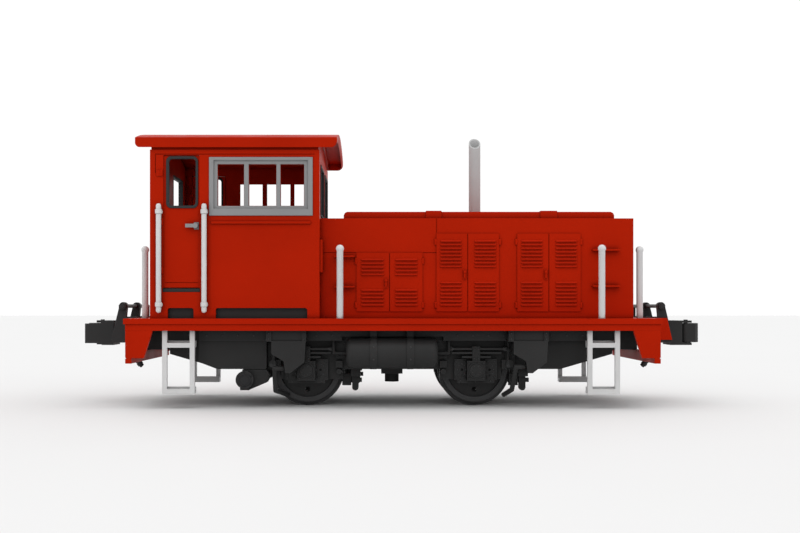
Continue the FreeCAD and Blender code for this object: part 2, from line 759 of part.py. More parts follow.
def cab_doors():
    """Each door closes against a lip on the outside and swings into the cab on three knuckles."""
    leaf = block(("door_rear - door_lap", "door_front + door_lap"), ("-leaf_out", "-leaf_in"),
                 ("door_low + door_gap", "door_high - door_gap"))
    knuckles = []
    for high in DOOR_HINGES:
        knuckles.append(rod("z", ("hinge_x", "-hinge_y", "%s - 1.5" % high), "hinge_rad", "3"))
        knuckles.append(block(("hinge_x", "hinge_x + 6"), ("-leaf_in - 0.1", "-hinge_y - 0.1"),
                              ("%s - 1.5" % high, "%s + 1.5" % high)))
    hole = pane(DOOR_PANE[0], DOOR_PANE[1], "leaf_in - 1", "leaf_out + 1", "pane_corner")
    spindle_hole = rod("y", ("handle_x", "-cab_half_wide - 1", "handle_high"), "0.8 + running_gap", "5")
    kick_line = block(("-115", "-98"), ("-leaf_out - 1", "-leaf_out + 0.25"), ("63.6", "64"))
    near = cut(join(leaf, *knuckles), hole, spindle_hole, kick_line)
    seal = pane(DOOR_PANE[0], DOOR_PANE[1], "leaf_in + 0.2", "leaf_out + 0.5", "pane_corner")
    light = pane(DOOR_LIGHT[0], DOOR_LIGHT[1], "leaf_in - 1", "leaf_out + 1", "1.7")
    near_seal = cut(seal, light)
    spindle = rod("y", ("handle_x", "-cab_half_wide - 0.1", "handle_high"), "0.8", "2.3")
    rose = rod("y", ("handle_x", "-cab_half_wide - 1.9", "handle_high"), "1.3", "2.4")
    grip = block(("handle_x - 5", "handle_x"), ("-cab_half_wide - 1.9", "-cab_half_wide - 1"),
                 ("handle_high - 0.9", "handle_high + 0.9"))
    near_handle = join(spindle, rose, grip)
    for side, place in (("right", lambda piece: piece), ("left", mirrored)):
        subpart("cab_door_" + side, place(near))
        subpart("door_seal_" + side, place(near_seal))
        subpart("door_handle_" + side, place(near_handle))


def cab_grab_rails():
    rails = []
    for x in ("-117.6", "-94.8"):
        bar = rod("z", (x, "-rail_y", "rail_low"), "rail_rad", "rail_high - rail_low")
        pins = [rod("y", (x, "-rail_y", high), "0.9", "rail_y - cab_half_wide")
                for high in ("52.7", "99.4")]
        caps = [ball((x, "-rail_y", high), "rail_rad") for high in ("rail_low", "rail_high")]
        rails.append(both_sides(join(bar, *(pins + caps))))
    subpart("cab_grab_rails", group(*rails))


# ---- hood --------------------------------------------------------------------------

def hood_body():
    outer = block(("cab_front", "hood_front"), ("-hood_half_wide", "hood_half_wide"),
                  ("board_top", "hood_top"))
    room = block(("cab_front + hood_wall", "hood_front - hood_wall"),
                 ("-hood_half_wide + hood_wall", "hood_half_wide - hood_wall"),
                 ("board_top - 1", "hood_top - hood_wall"))
    mouth = block(("cab_front - 1", "cab_front + hood_wall + 1"), ("-30", "30"), ("board_top - 1", "90"))
    stub = rod("z", ("exhaust_x", "0", "hood_top - 4"), "exhaust_rad", "6")
    lines = [block(x, ("-hood_half_wide - 1", "-hood_half_wide + 0.3"), z)
             for x, z in ((("22.3", "22.65"), ("89.5", "hood_top + 1")),
                          (("cab_front", "-18.8"), ("79.1", "79.5")), (("15.6", "22.3"), ("79.1", "79.5")))]
    lines += [mirrored(line) for line in lines]
    subpart("hood_body", cut(outer, room, mouth, stub, *lines))


def hood_top_cover():
    profile = [("cover_rear", "hood_top"), ("cover_front", "hood_top"),
               ("cover_front", "cover_top - 1.8"), ("cover_front - 0.6", "cover_top - 0.6"),
               ("cover_front - 1.8", "cover_top"), ("cover_rear + 1.8", "cover_top"),
               ("cover_rear + 0.6", "cover_top - 0.6"), ("cover_rear", "cover_top - 1.8")]
    lid = outline_body("XZ", profile, "-cover_half_wide", "cover_half_wide")
    lugs = []
    for low, high in (("17.2", "25.2"), ("76.2", "84.8")):
        lug = block((low, high), ("-cover_half_wide - 0.6", "-cover_half_wide + 5"),
                    ("hood_top", "cover_top + 0.5"))
        lugs += [lug, mirrored(lug)]
    stub = rod("z", ("exhaust_x", "0", "hood_top - 4"), "exhaust_rad", "12")
    subpart("hood_top_cover", cut(join(lid, *lugs), stub))


HOOD_DOORS = (("-18.5", "-1.8", "79.3"), ("-1.4", "15.3", "79.3"), ("22.4", "38.2", "89.1"),
              ("38.6", "54.4", "89.1"), ("63.7", "79.7", "89.1"), ("80.1", "96.2", "89.1"))


def hood_doors():
    """Six thin door leaves on each side of the hood."""
    leaves = [pane((rear, front), ("panel_low", top), "hood_half_wide", "hood_half_wide + panel_thick",
                   "0.4") for rear, front, top in HOOD_DOORS]
    near = group(*leaves)
    subpart("hood_doors_right", near)
    subpart("hood_doors_left", mirrored(near))


def hood_front_pieces():
    frame = block(("hood_front", "hood_front + 1.2"), ("-24", "24"), ("52", "88"))
    opening = block(("hood_front + 0.5", "hood_front + 2"), ("-22", "22"), ("54", "86"))
    bars = [block(("hood_front + 0.5", "hood_front + 1"), ("-22", "22"),
                  ("%g" % (56 + 3.2 * number), "%g" % (57.4 + 3.2 * number))) for number in range(9)]
    subpart("radiator_grille", join(cut(frame, opening), *bars))


def headlights():
    lamps = []
    for y in ("-29.5", "29.5"):
        lamps.append(rod("x", ("hood_front", y, "90.5"), "lamp_rad", "lamp_proud"))
        lamps.append(rod("x", ("cab_rear - lamp_proud", "1.3 * (%s)" % y, "92"), "lamp_rad",
                         "lamp_proud"))
    subpart("headlights", group(*lamps))


def exhaust_stack():
    pipe = rod("z", ("exhaust_x", "0", "hood_top - hood_wall"), "exhaust_rad",
               "exhaust_top - hood_top + hood_wall")
    bore = rod("z", ("exhaust_x", "0", "exhaust_top - 12"), "exhaust_bore", "20")
    mouth = outline_body("XZ", [("exhaust_x - 9", "-9"), ("exhaust_x + 9", "-9"), ("exhaust_x + 9", "9"),
                                ("exhaust_x - 9", "9")], "0", "30")
    mouth.Placement = FreeCAD.Placement(Vector(0, 0, 0), FreeCAD.Rotation(Vector(1, 0, 0), -45))
    bind(mouth, "Placement.Base.z", "exhaust_top - exhaust_rad")
    subpart("exhaust_stack", cut(pipe, bore, mouth))


def ballast_weight():
    subpart("ballast_weight", block(("58", "112"), ("-24", "24"), ("board_top", "board_top + 24")))


# ---- underframe --------------------------------------------------------------------

ENDS = ((REAR_AXLE, "-"), (FRONT_AXLE, "+"))


def beside(axle, away, distance):
    """A place counted from an axle, away from the locomotive's middle."""
    back = {"+": "-", "-": "+"}[away]
    return "%s %s %g" % (axle, away if distance >= 0 else back, abs(distance))


def stretch(axle, away, near, far):
    """Two places counted from an axle, the lower one first."""
    limits = (beside(axle, away, near), beside(axle, away, far))
    return limits if away == "+" else limits[::-1]


def side_frames():
    outline = [("-115.1", "deck_low"), ("-115.1", "27.2"), ("-88.2", "cheek_low"), ("86.7", "cheek_low"),
               ("113.6", "27.2"), ("113.6", "deck_low")]
    plate = outline_body("XZ", outline, "frame_in", "frame_out")
    solebar = block(("-99", "100"), ("-solebar_out", "-frame_out"), ("solebar_low", "deck_low"))
    tank_bay = block(("-26", "26"), ("-solebar_out - 1", "-33"), ("solebar_low - 1", "36.4"))
    pieces = [plate, cut(solebar, tank_bay)]
    thick = ("-guide_out", "-frame_out")
    for axle, away in ENDS:
        pieces.append(block(stretch(axle, away, -18.4, 13.3), ("-frame_out", "-frame_in"),
                            ("14.4", "cheek_low + 1")))
        pieces.append(block(stretch(axle, away, -9.4, 9.4), ("-guide_out", "-frame_in"),
                            ("12.4", "14.4")))
        for near, far, eye in ((-10.9, -4.9, -7.1), (4.9, 10.9, 7.1)):
            guide = block(stretch(axle, away, near, far), thick, ("14", "24.6"))
            hole = rod("y", (beside(axle, away, eye), "-guide_out - 1", "19.2"), "0.7", "2.4")
            pieces.append(cut(guide, hole))
        pieces.append(block(stretch(axle, away, -18.4, -15), ("-guide_out - 1", "-frame_out"),
                            ("20.4", "23.7")))
        pieces.append(rod("y", (beside(axle, away, -16.7), "-guide_out - 1", "18.3"), "1.3", "3"))
        pieces.append(block(stretch(axle, away, -20.5, -15), thick, ("25", "solebar_low")))
        pieces.append(block(stretch(axle, away, 15.4, 20.2), thick, ("cheek_low", "solebar_low")))
        pieces.append(block(stretch(axle, away, 13.4, 15.9), ("-guide_out - 1", "-frame_out"),
                            ("19.8", "24.3")))
        pieces.append(rod("y", (beside(axle, away, 17.4), "-guide_out - 2", "22.3"), "1.9", "4"))
    near = join(*pieces)
    subpart("side_frame_right", near)
    subpart("side_frame_left", mirrored(near))


def axleboxes():
    boxes = []
    for axle in AXLES:
        housing = block((axle + " - 4.6", axle + " + 4.6"), ("-box_out", "-guide_out"),
                        ("axle_high - 5.2", "axle_high + 4.8"))
        lid = rod("y", (axle, "-lid_out", "axle_high"), "lid_rad", "lid_out - box_out")
        collar = rod("y", (axle, "-box_out - 0.5", "axle_high"), "collar_rad", "0.5")
        boxes.append(both_sides(join(housing, collar, lid)))
    subpart("axleboxes", group(*boxes))


def leaf_springs():
    springs = []
    for axle, away in ENDS:
        leaves = []
        for near, far, low in ((-12.7, 15.1, "29.4"), (-12.7, 13, "27.4"), (-7.3, 7.6, "25.3")):
            leaves.append(block(stretch(axle, away, near, far), ("-36.6", "-frame_out"),
                                (low, low + " + 1.1")))
        leaves.append(block((axle + " - 1.9", axle + " + 1.9"), ("-box_out", "-guide_out"),
                            ("23.8", "31.3")))
        springs.append(both_sides(join(*leaves)))
    subpart("leaf_springs", group(*springs))


def sandboxes():
    """Hoppers hung under the deck edge, each between two brackets."""
    boxes = []
    for x in ("-61.3", "60.9"):
        outline = [(x, "34.4"), (x, "27.8"), (x + " + 6.2", "24.1"), (x + " + 7", "18.1"),
                   (x + " + 9.6", "18.1"), (x + " + 16.7", "23.6"), (x + " + 17.3", "34.4")]
        hopper = outline_body("XZ", outline, "sandbox_in", "sandbox_out")
        filler = block((x, x + " + 17.3"), ("-sandbox_out + 0.8", "-solebar_out"), ("34.4", "deck_low"))
        pieces = [hopper, filler]
        for low, high in (("- 2.6", "+ 0"), ("+ 15.4", "+ 17.6")):
            pieces.append(block((x + low, x + high), ("-sandbox_out", "-solebar_out"),
                                ("34.1", "deck_low")))
        boxes.append(both_sides(join(*pieces)))
    subpart("sandboxes", group(*boxes))


def sand_pipes():
    routes = ([("-54.9", "-43", "20.3"), ("-60", "-42.4", "20.3"), ("-59.9", "-37", "8.7"),
               ("-54.4", "-27.9", "5.9")],
              [("67.2", "-43", "21.2"), ("62.5", "-42.4", "21.2"), ("61", "-37", "9.2"),
               ("57.6", "-29.5", "6")])
    pipes = [both_sides(tube_along(route, "pipe_rad")) for route in routes]
    subpart("sand_pipes", group(*pipes))


def air_reservoirs():
    """A domed tank on each side, strapped to the deck, with a pipe from each end."""
    barrel = rod("x", ("tank_mid_x - tank_half_len", "-tank_mid_y", "tank_high"), "tank_rad",
                 "2 * tank_half_len")
    doc.recompute()
    domed = doc.addObject("Part::Fillet", new_name("fillet"))
    domed.Base = barrel
    domed.Edges = [(number, 2.8, 2.8) for number, edge in enumerate(barrel.Shape.Edges, start=1)
                   if edge.Closed and edge.BoundBox.XLength < 0.01]
    straps = []
    for x in ("-11.4", "7.2"):
        straps.append(rod("x", (x, "-tank_mid_y", "tank_high"), "tank_rad + strap_thick", "3.3"))
        straps.append(block((x, x + " + 3.3"), ("-tank_mid_y - 1.5", "-tank_mid_y + 1.5"),
                            ("34", "deck_low")))
    pipes = []
    for axle, away in ENDS:
        sign = "-" if away == "-" else "+"
        knee = beside(axle, away, -14)
        pipes.append(tube_along([("tank_mid_x %s (tank_half_len - 1)" % sign, "-36.2", "27.9"),
                                 (knee, "-36.2", "27.9"), (knee, "-36.2", "solebar_low")], "0.85"))
    tank = join(domed, *(straps + pipes))
    subpart("air_reservoirs", both_sides(tank))


def fuel_tanks():
    outline = [("-99.3", "solebar_low"), ("-99.3", "23.3"), ("-89.9", "19.7"), ("-64.6", "19.7"),
               ("-64.6", "solebar_low")]
    tank = outline_body("XZ", outline, "frame_out", "fuel_tank_out", "1")
    subpart("fuel_tanks", both_sides(tank))


def brake_gear():
    """A hanger and shoe behind each wheel, and the brake cylinder near the rear."""
    pieces = []
    for axle in AXLES:
        bracket = block((axle + " + 22.7", axle + " + 27.6"), ("-frame_in", "-22.3"), ("15.5", "27"))
        hanger = block((axle + " + 23.2", axle + " + 26.6"), ("-27", "-23"), ("9.7", "15.5"))
        boss = rod("y", (axle + " + 24.9", "-27", "9.7"), "1.7", "4")
        shoe = block((axle + " + 18", axle + " + 22.7"), ("-25.6", "-22.3"), ("10.6", "16.5"))
        pad = block((axle + " + 18.6", axle + " + 23.2"), ("-25", "-23"), ("12", "15.6"))
        nub = block((axle + " + 26.6", axle + " + 28.3"), ("-27", "-24"), ("12.4", "14.6"))
        pieces.append(both_sides(join(bracket, hanger, boss, shoe, pad, nub)))
    cover = rod("y", ("-75.3", "-42", "14.5"), "4.5", "1.2")
    cylinder = rod("y", ("-75.3", "-40.9", "14.5"), "3.7", "8")
    foot = block(("-77.6", "-73.1"), ("-41.4", "-36"), ("9.2", "12.5"))
    case = outline_body("XZ", [("-77", "cheek_low"), ("-77", "9.2"), ("-74", "8.8"), ("-64.4", "12.9"),
                               ("-63.5", "14.6"), ("-63.5", "17.6"), ("-64.6", "cheek_low")],
                        "frame_in", "37")
    pieces.append(both_sides(join(cover, cylinder, foot, case)))
    subpart("brake_gear", group(*pieces))


def ladders():
    for end, middle in (("rear", "-108.1"), ("front", "106.3")):
        stiles = [block(("%s %s" % (middle, low), "%s %s" % (middle, high)),
                        ("-ladder_out", "-ladder_out + 2"), ("ladder_low", "deck_low"))
                  for low, high in (("- ladder_half", "- ladder_half + stile_wide"),
                                    ("+ ladder_half - stile_wide", "+ ladder_half"))]
        rungs = []
        for low in ("ladder_low", "rung_high"):
            rungs.append(block((middle + " - ladder_half", middle + " + ladder_half"),
                               ("-ladder_out", "-ladder_in"), (low, low + " + rung_thick")))
            rungs.append(block((middle + " - ladder_half", middle + " + ladder_half"),
                               ("-ladder_in - 0.9", "-ladder_in"), (low, low + " + rung_thick + 1")))
        subpart(end + "_ladders", both_sides(join(*(stiles + rungs))))


def handrail_posts():
    posts = []
    for x, y in (("-26.6", "47.8"), ("104.9", "47.8"), ("-127.1", "35"), ("126.9", "35")):
        stem = rod("z", (x, "-" + y, "board_top"), "post_rad", "post_high - board_top")
        top = ball((x, "-" + y, "post_high"), "post_ball")
        posts.append(both_sides(join(stem, top)))
    subpart("handrail_posts", group(*posts))


# ---- ends and couplers -------------------------------------------------------------

def front_pilot_piece():
    """Headstock, two side plates and the footboard, drawn at the +X end."""
    plate = [("120.5", "skirt_low"), ("124.8", "25.8"), ("beam_in", "25.8"), ("beam_in", "beam_low"),
             ("pilot_end", "beam_low"), ("pilot_end", "skirt_low")]
    side = outline_body("XZ", plate, "skirt_in", "skirt_out")
    headstock = block(("headstock_in", "pilot_end"), ("-skirt_in", "skirt_in"),
                      ("headstock_low", "board_low"))
    mouth = block(("headstock_in - 1", "pilot_end + 1"), ("-mouth_half", "mouth_half"),
                  ("headstock_low - 1", "41"))
    beam = block(("beam_in", "pilot_end"), ("-skirt_in", "skirt_in"), ("beam_low", "beam_high"))
    groove = block(("pilot_end - 0.4", "pilot_end + 1"), ("-skirt_in - 3", "skirt_in + 3"),
                   ("25.6", "26"))
    return cut(join(side, mirrored(side), cut(headstock, mouth), beam), groove)


def pilots():
    """The front pilot also carries a red cheek outside each drawbar gusset."""
    outline = [("pilot_end", "34.1"), ("148.2", "34.1"), ("145.5", "board_top"),
               ("board_half_len", "board_top"), ("board_half_len", "board_low"),
               ("pilot_end", "board_low")]
    cheek = outline_body("XZ", outline, "gusset_out + 0.1", "gusset_out + 0.9")
    front = join(front_pilot_piece(), cheek, mirrored(cheek))
    subpart("rear_pilot", turned(front_pilot_piece()))
    subpart("front_pilot", front)


def front_drawbox_piece():
    """Two gusset plates with bosses for the lever rod, and the web between them."""
    edge = [("pilot_end", "32.6"), ("147.6", "32.6"), ("148.8", "34.2"), ("144.6", "52"),
            ("142.5", "54"), ("140.4", "52.6"), ("141", "46.4"),
            ("board_half_len + 0.1", "46.4"), ("board_half_len + 0.1", "board_low"), ("pilot_end", "board_low")]
    gusset = outline_body("XZ", edge, "gusset_in", "gusset_out")
    boss = rod("y", ("lever_x", "-gusset_out - 0.4", "lever_high"), "2.1", "gusset_out - gusset_in + 0.8")
    web = block(("pilot_end", "pilot_end + 2"), ("-gusset_in", "gusset_in"), ("32.6", "board_low - 0.2"))
    mouth = block(("pilot_end - 1", "pilot_end + 3"), ("-11", "11"), ("32", "41"))
    bore = rod("y", ("lever_x", "-30", "lever_high"), "lever_rad + running_gap", "60")
    side = join(gusset, boss)
    return cut(join(side, mirrored(side), cut(web, mouth)), bore)


def drawboxes():
    subpart("rear_drawbox", turned(front_drawbox_piece()))
    subpart("front_drawbox", front_drawbox_piece())


def front_lever_piece(far):
    """Uncoupling lever: a cross rod with a hanging handle and a short lifting arm."""
    shaft = rod("y", ("lever_x", "-20", "lever_high"), "lever_rad", "65")
    collar = rod("y", ("lever_x", "-19.6", "lever_high"), "1.7", "1.4")
    handle = block(("lever_x - 0.9", "lever_x + 0.9"), ("43.4", "45"), ("lever_high - 7.4", "lever_high"))
    arm = block(("lever_x", "lever_x + 6.2"), ("-1.5", "1.5"), ("lever_high - 0.9", "lever_high + 0.7"))
    piece = join(shaft, collar, handle, arm)
    return piece if far else mirrored(piece)


def levers():
    subpart("rear_coupler_lever", turned(front_lever_piece(False)))
    subpart("front_coupler_lever", front_lever_piece(True))


def front_coupler_piece():
    shank = block(("coupler_pivot", "head_in"), ("-shank_half", "shank_half"), ("shank_low", "shank_high"))
    eye = rod("z", ("coupler_pivot", "0", "shank_low"), "4", "shank_high - shank_low")
    eye_hole = rod("z", ("coupler_pivot", "0", "shank_low - 1"), "pivot_rad + running_gap", "9")
    neck = block(("head_in - 4", "head_in"), ("-5", "5"), ("32.4", "41.4"))
    head = block(("head_in", "head_front"), ("-head_half", "head_half"), ("head_low", "head_high"))
    guard = outline_body("XY", [("head_front", "4.3"), ("160.2", "5"), ("164.6", "5.4"),
                                ("coupler_end", "7.3"), ("163", "head_half"), ("head_front", "head_half")],
                         "head_low + 1", "head_high - 1.6")
    lug_low = block(("head_front", "161.6"), ("-head_half", "-2"), ("head_low", "knuckle_low - 0.1"))
    lug_high = block(("head_front", "161.6"), ("-head_half", "-2"), ("knuckle_high + 0.1", "head_high"))
    pin = rod("z", ("knuckle_x", "knuckle_y", "head_low"), "1.1", "head_high - head_low + 0.5")
    return join(cut(join(shank, eye), eye_hole), neck, head, guard, lug_low, lug_high, pin)


def front_knuckle_piece():
    low, high = "knuckle_low + 0.1", "knuckle_high - 0.1"
    jaw = outline_body("XY", [("knuckle_x", "-7.4"), ("163.6", "-7.4"), ("coupler_end", "-5.6"),
                              ("coupler_end", "-0.6"), ("163", "-0.6"), ("162.4", "-2.8"),
                              ("knuckle_x", "-2.7")], low, high)
    barrel = rod("z", ("knuckle_x", "knuckle_y", low), "knuckle_rad", "(%s) - (%s)" % (high, low))
    bore = rod("z", ("knuckle_x", "knuckle_y", "30"), "1.1 + running_gap", "20")
    return cut(join(jaw, barrel), bore)


def couplers():
    subpart("rear_coupler", turned(front_coupler_piece()))
    subpart("rear_knuckle", turned(front_knuckle_piece()))
    subpart("front_coupler", front_coupler_piece())
    subpart("front_knuckle", front_knuckle_piece())


def brake_hoses():
    """Air hoses that hang from the drawbar web in front of each footboard."""
    hoses = []
    for side in ("-", ""):
        route = [(side + "135.4", "32.6"), (side + "135.4", "31.4"), (side + "136.5", "27"),
                 (side + "136", "22.6"), (side + "134.4", "21")]
        hoses.append(tube_along([(x, "-hose_y", z) for x, z in route], "hose_rad"))
    subpart("brake_hoses", group(*hoses))


# ---- make, check and write -----------------------------------------------------------

def make_all():
    running_board()
    main_frame()
    body_screws()
    gearbox_covers()
    wheelset("rear", REAR_AXLE)
    wheelset("front", FRONT_AXLE)
    bushes_and_bearings()
    motor()
    cab_body()
    end_window_seals()
    side_windows()
    cab_floor()
    cab_roof()
    cab_doors()
    cab_grab_rails()
    hood_body()
    hood_top_cover()
    hood_doors()
    hood_front_pieces()
    headlights()
    exhaust_stack()
    ballast_weight()
    side_frames()
    axleboxes()
    leaf_springs()
    sandboxes()
    sand_pipes()
    air_reservoirs()
    fuel_tanks()
    brake_gear()
    ladders()
    handrail_posts()
    pilots()
    drawboxes()
    levers()
    couplers()
    brake_hoses()


def check_and_write():
    doc.recompute()
    for obj in doc.Objects:
        faults = [state for state in obj.State if state in ("Invalid", "Error")]
        if faults:
            raise RuntimeError("%s (%s) is %s" % (obj.Name, obj.Label, faults))
    for piece in subparts:
        if piece.Shape.isNull() or not piece.Shape.isValid():
            raise RuntimeError("%s has no valid shape" % piece.Label)
    os.makedirs("parts", exist_ok=True)
    for piece in subparts:
        piece.Shape.exportStep("parts/%s.step" % piece.Label)
    print("%d sub-parts written" % len(subparts))


make_all()
check_and_write()
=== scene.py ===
"""Model diesel shunter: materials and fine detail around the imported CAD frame."""
import json
import math

import bmesh
import bpy
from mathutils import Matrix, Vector


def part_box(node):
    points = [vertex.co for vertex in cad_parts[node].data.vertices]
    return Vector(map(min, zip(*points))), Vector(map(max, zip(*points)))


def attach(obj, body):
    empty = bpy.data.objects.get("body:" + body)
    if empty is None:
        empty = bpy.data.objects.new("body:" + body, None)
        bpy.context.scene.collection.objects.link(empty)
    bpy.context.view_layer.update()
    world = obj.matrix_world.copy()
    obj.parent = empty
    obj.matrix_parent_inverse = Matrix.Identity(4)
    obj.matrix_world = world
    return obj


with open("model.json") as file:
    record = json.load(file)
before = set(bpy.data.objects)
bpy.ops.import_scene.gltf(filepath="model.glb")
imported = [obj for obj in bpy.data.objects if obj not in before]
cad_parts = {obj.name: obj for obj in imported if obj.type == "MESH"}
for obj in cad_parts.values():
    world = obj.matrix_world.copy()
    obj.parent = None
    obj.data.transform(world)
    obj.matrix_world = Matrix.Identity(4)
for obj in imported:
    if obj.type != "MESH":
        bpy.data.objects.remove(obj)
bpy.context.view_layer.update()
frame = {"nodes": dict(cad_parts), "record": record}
NODES = frame["nodes"]
MM = 0.001


# ---- places read from the frame, in millimetres ---------------------------------

def low(node):
    """Lowest corner of a CAD node, in millimetres."""
    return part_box(node)[0] / MM


def high(node):
    """Highest corner of a CAD node, in millimetres."""
    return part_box(node)[1] / MM


HOOD_SIDE = high("hood_body").y
LEAF_FACE = high("hood_doors_left").y
CAB_SIDE = high("cab_body").y
DOOR_FACE = high("cab_door_left").y
CAB_REAR = low("cab_body").x
BOARD_EDGE = high("running_board").y
RAIL_Y = high("cab_grab_rails").y - 1.3
SOLEBAR_FACE = high("side_frame_left").y
GUIDE_FACE = SOLEBAR_FACE - 4.5
REAR_AXLE = (low("rear_axle").x + high("rear_axle").x) / 2
FRONT_AXLE = (low("front_axle").x + high("front_axle").x) / 2
AXLE_HIGH = (low("rear_axle").z + high("rear_axle").z) / 2
LID_FACE = high("axleboxes").y
BOX_FACE = LID_FACE - 1.2
SANDBOX_FACE = high("sandboxes").y
TANK_FACE = high("air_reservoirs").y
BEAM_FACE = -low("rear_pilot").x
HOSE_Y = (low("brake_hoses").y + high("brake_hoses").y) / 2

# Chosen to suit the CAD pieces, in millimetres; SEAT is how far a fitting sinks into its face
TANK_AXIS_Y = 40.5
TANK_AXIS_Z = 28.2
CYLINDER_X = -75.3
CYLINDER_Z = 14.5
SPRING_PIN_Z = 29.9
HOSE_TOP_X = 135.4
HOSE_END_X = 135.3
TYRE_EDGE = 14.1
SEAT = 0.1


def depths(side, near, far):
    """Two distances out from the centre line, as ordered Y limits on one side."""
    return sorted((side * near, side * far))


# ---- materials --------------------------------------------------------------------

def shader(name, colour, roughness, **sockets):
    """A Principled material; uniform values go straight on its sockets."""
    material = bpy.data.materials.new(name)
    material.use_nodes = True
    principled = material.node_tree.nodes["Principled BSDF"]
    principled.inputs["Base Color"].default_value = (*colour, 1)
    principled.inputs["Roughness"].default_value = roughness
    for socket, value in sockets.items():
        principled.inputs[socket.replace("_", " ")].default_value = value
    return material, material.node_tree, principled


def noise(tree, scale, detail=3.0, stretch=(1, 1, 1)):
    """Object-space noise; scale is per metre."""
    place = tree.nodes.new("ShaderNodeTexCoord")
    mapping = tree.nodes.new("ShaderNodeMapping")
    mapping.inputs["Scale"].default_value = stretch
    texture = tree.nodes.new("ShaderNodeTexNoise")
    texture.inputs["Scale"].default_value = scale
    texture.inputs["Detail"].default_value = detail
    tree.links.new(place.outputs["Object"], mapping.inputs["Vector"])
    tree.links.new(mapping.outputs["Vector"], texture.inputs["Vector"])
    return texture.outputs["Fac"]


def ramp(tree, value, source, target):
    """Map a value from one range onto another, held at both ends."""
    node = tree.nodes.new("ShaderNodeMapRange")
    for socket, number in zip(("From Min", "From Max", "To Min", "To Max"), source + target):
        node.inputs[socket].default_value = number
    tree.links.new(value, node.inputs["Value"])
    return node.outputs["Result"]


def spread(tree, value, low_out, high_out):
    """Map a noise value onto a range."""
    return ramp(tree, value, (0.3, 0.7), (low_out, high_out))


def tint(tree, principled, colour, other, factor):
    """Vary the base colour between two close tones."""
    mix = tree.nodes.new("ShaderNodeMix")
    mix.data_type = "RGBA"
    mix.inputs["A"].default_value = (*colour, 1)
    mix.inputs["B"].default_value = (*other, 1)
    tree.links.new(factor, mix.inputs["Factor"])
    tree.links.new(mix.outputs["Result"], principled.inputs["Base Color"])


def bump(tree, principled, height, strength, distance):
    """Fine surface relief."""
    node = tree.nodes.new("ShaderNodeBump")
    node.inputs["Strength"].default_value = strength
    node.inputs["Distance"].default_value = distance
    tree.links.new(height, node.inputs["Height"])
    tree.links.new(node.outputs["Normal"], principled.inputs["Normal"])


def paint_recess_shade(tree, principled, reach, darkest):
    """Darken the base colour in corners and seams: painted shade where surrounding parts block the light."""
    nearby = tree.nodes.new("ShaderNodeAmbientOcclusion")
    nearby.samples = 8
    nearby.inputs["Distance"].default_value = reach * MM
    painted_shade_factor = ramp(tree, nearby.outputs["AO"], (0.35, 0.95), (darkest, 1.0))
    mix = tree.nodes.new("ShaderNodeMix")
    mix.data_type = "RGBA"
    mix.blend_type = "MULTIPLY"
    mix.inputs["Factor"].default_value = 1.0
    base = principled.inputs["Base Color"]
    tree.links.new(base.links[0].from_socket, mix.inputs["A"])
    tree.links.new(painted_shade_factor, mix.inputs["B"])
    tree.links.new(mix.outputs["Result"], base)


def moulded(name, colour, roughness, grain=2600, relief=0.25, change=0.12, edge_highlight=None, **sockets):
    """Injection-moulded plastic: fine grain, soft unevenness in tone and gloss, painted shade in its
    corners, and painted highlights on its edges when an edge colour is given.
    """
    material, tree, principled = shader(name, colour, roughness, **sockets)
    other = [channel * (1 - change) for channel in colour]
    tint(tree, principled, colour, other, spread(tree, noise(tree, 28, 4), 0, 1))
    # Painted highlight: sharp edges made paler when an edge colour is given.
    if edge_highlight:
        paint_edge_highlight(tree, principled, 0.45, edge_highlight)
    # Painted shade: base colour darkened in corners and seams.
    paint_recess_shade(tree, principled, 3.0, 0.45)
    gloss = spread(tree, noise(tree, 90, 5), roughness - 0.05, roughness + 0.06)
    tree.links.new(gloss, principled.inputs["Roughness"])
    bump(tree, principled, noise(tree, grain, 2), relief, 0.00004)
    return material


def paint_edge_highlight(tree, principled, reach, colour):
    """Paint the sharp outer edges paler: a painted highlight, as if light caught them."""
    inside = tree.nodes.new("ShaderNodeAmbientOcclusion")
    inside.samples = 8
    inside.inside = True
    inside.inputs["Distance"].default_value = reach * MM
    edge_highlight = ramp(tree, inside.outputs["AO"], (0.35, 0.9), (0.75, 0.0))
    mix = tree.nodes.new("ShaderNodeMix")
    mix.data_type = "RGBA"
    mix.inputs["B"].default_value = (*colour, 1)
    base = principled.inputs["Base Color"]
    tree.links.new(base.links[0].from_socket, mix.inputs["A"])
    tree.links.new(edge_highlight, mix.inputs["Factor"])
    tree.links.new(mix.outputs["Result"], base)


def wheel_finish(name, axle):
    """Blackened wheel: a dark recessed web inside a paler, smoother tyre."""
    material, tree, principled = shader(name, WEB_TONE, 0.42, Specular_IOR_Level=0.2)
    place = tree.nodes.new("ShaderNodeTexCoord")
    centre = tree.nodes.new("ShaderNodeVectorMath")
    centre.operation = "SUBTRACT"
    centre.inputs[1].default_value = (axle * MM, 0, AXLE_HIGH * MM)
    flat = tree.nodes.new("ShaderNodeVectorMath")
    flat.operation = "MULTIPLY"
    flat.inputs[1].default_value = (1, 0, 1)
    length = tree.nodes.new("ShaderNodeVectorMath")
    length.operation = "LENGTH"
    tree.links.new(place.outputs["Object"], centre.inputs[0])
    tree.links.new(centre.outputs["Vector"], flat.inputs[0])
    tree.links.new(flat.outputs["Vector"], length.inputs[0])
    radius = length.outputs["Value"]
    blend = ramp(tree, radius, (TYRE_EDGE * MM, (TYRE_EDGE + 0.4) * MM), (0, 1))
    tint(tree, principled, WEB_TONE, TYRE_TONE, blend)
    # Painted shade: base colour darkened in the wheel's corners and around the flange.
    paint_recess_shade(tree, principled, 1.5, 0.6)
    rings = tree.nodes.new("ShaderNodeTexNoise")
    rings.noise_dimensions = "1D"
    rings.inputs["Scale"].default_value = 1500
    tree.links.new(radius, rings.inputs["W"])
    tree.links.new(spread(tree, rings.outputs["Fac"], 0.34, 0.5), principled.inputs["Roughness"])
    bump(tree, principled, rings.outputs["Fac"], 0.25, 0.00003)
    return material


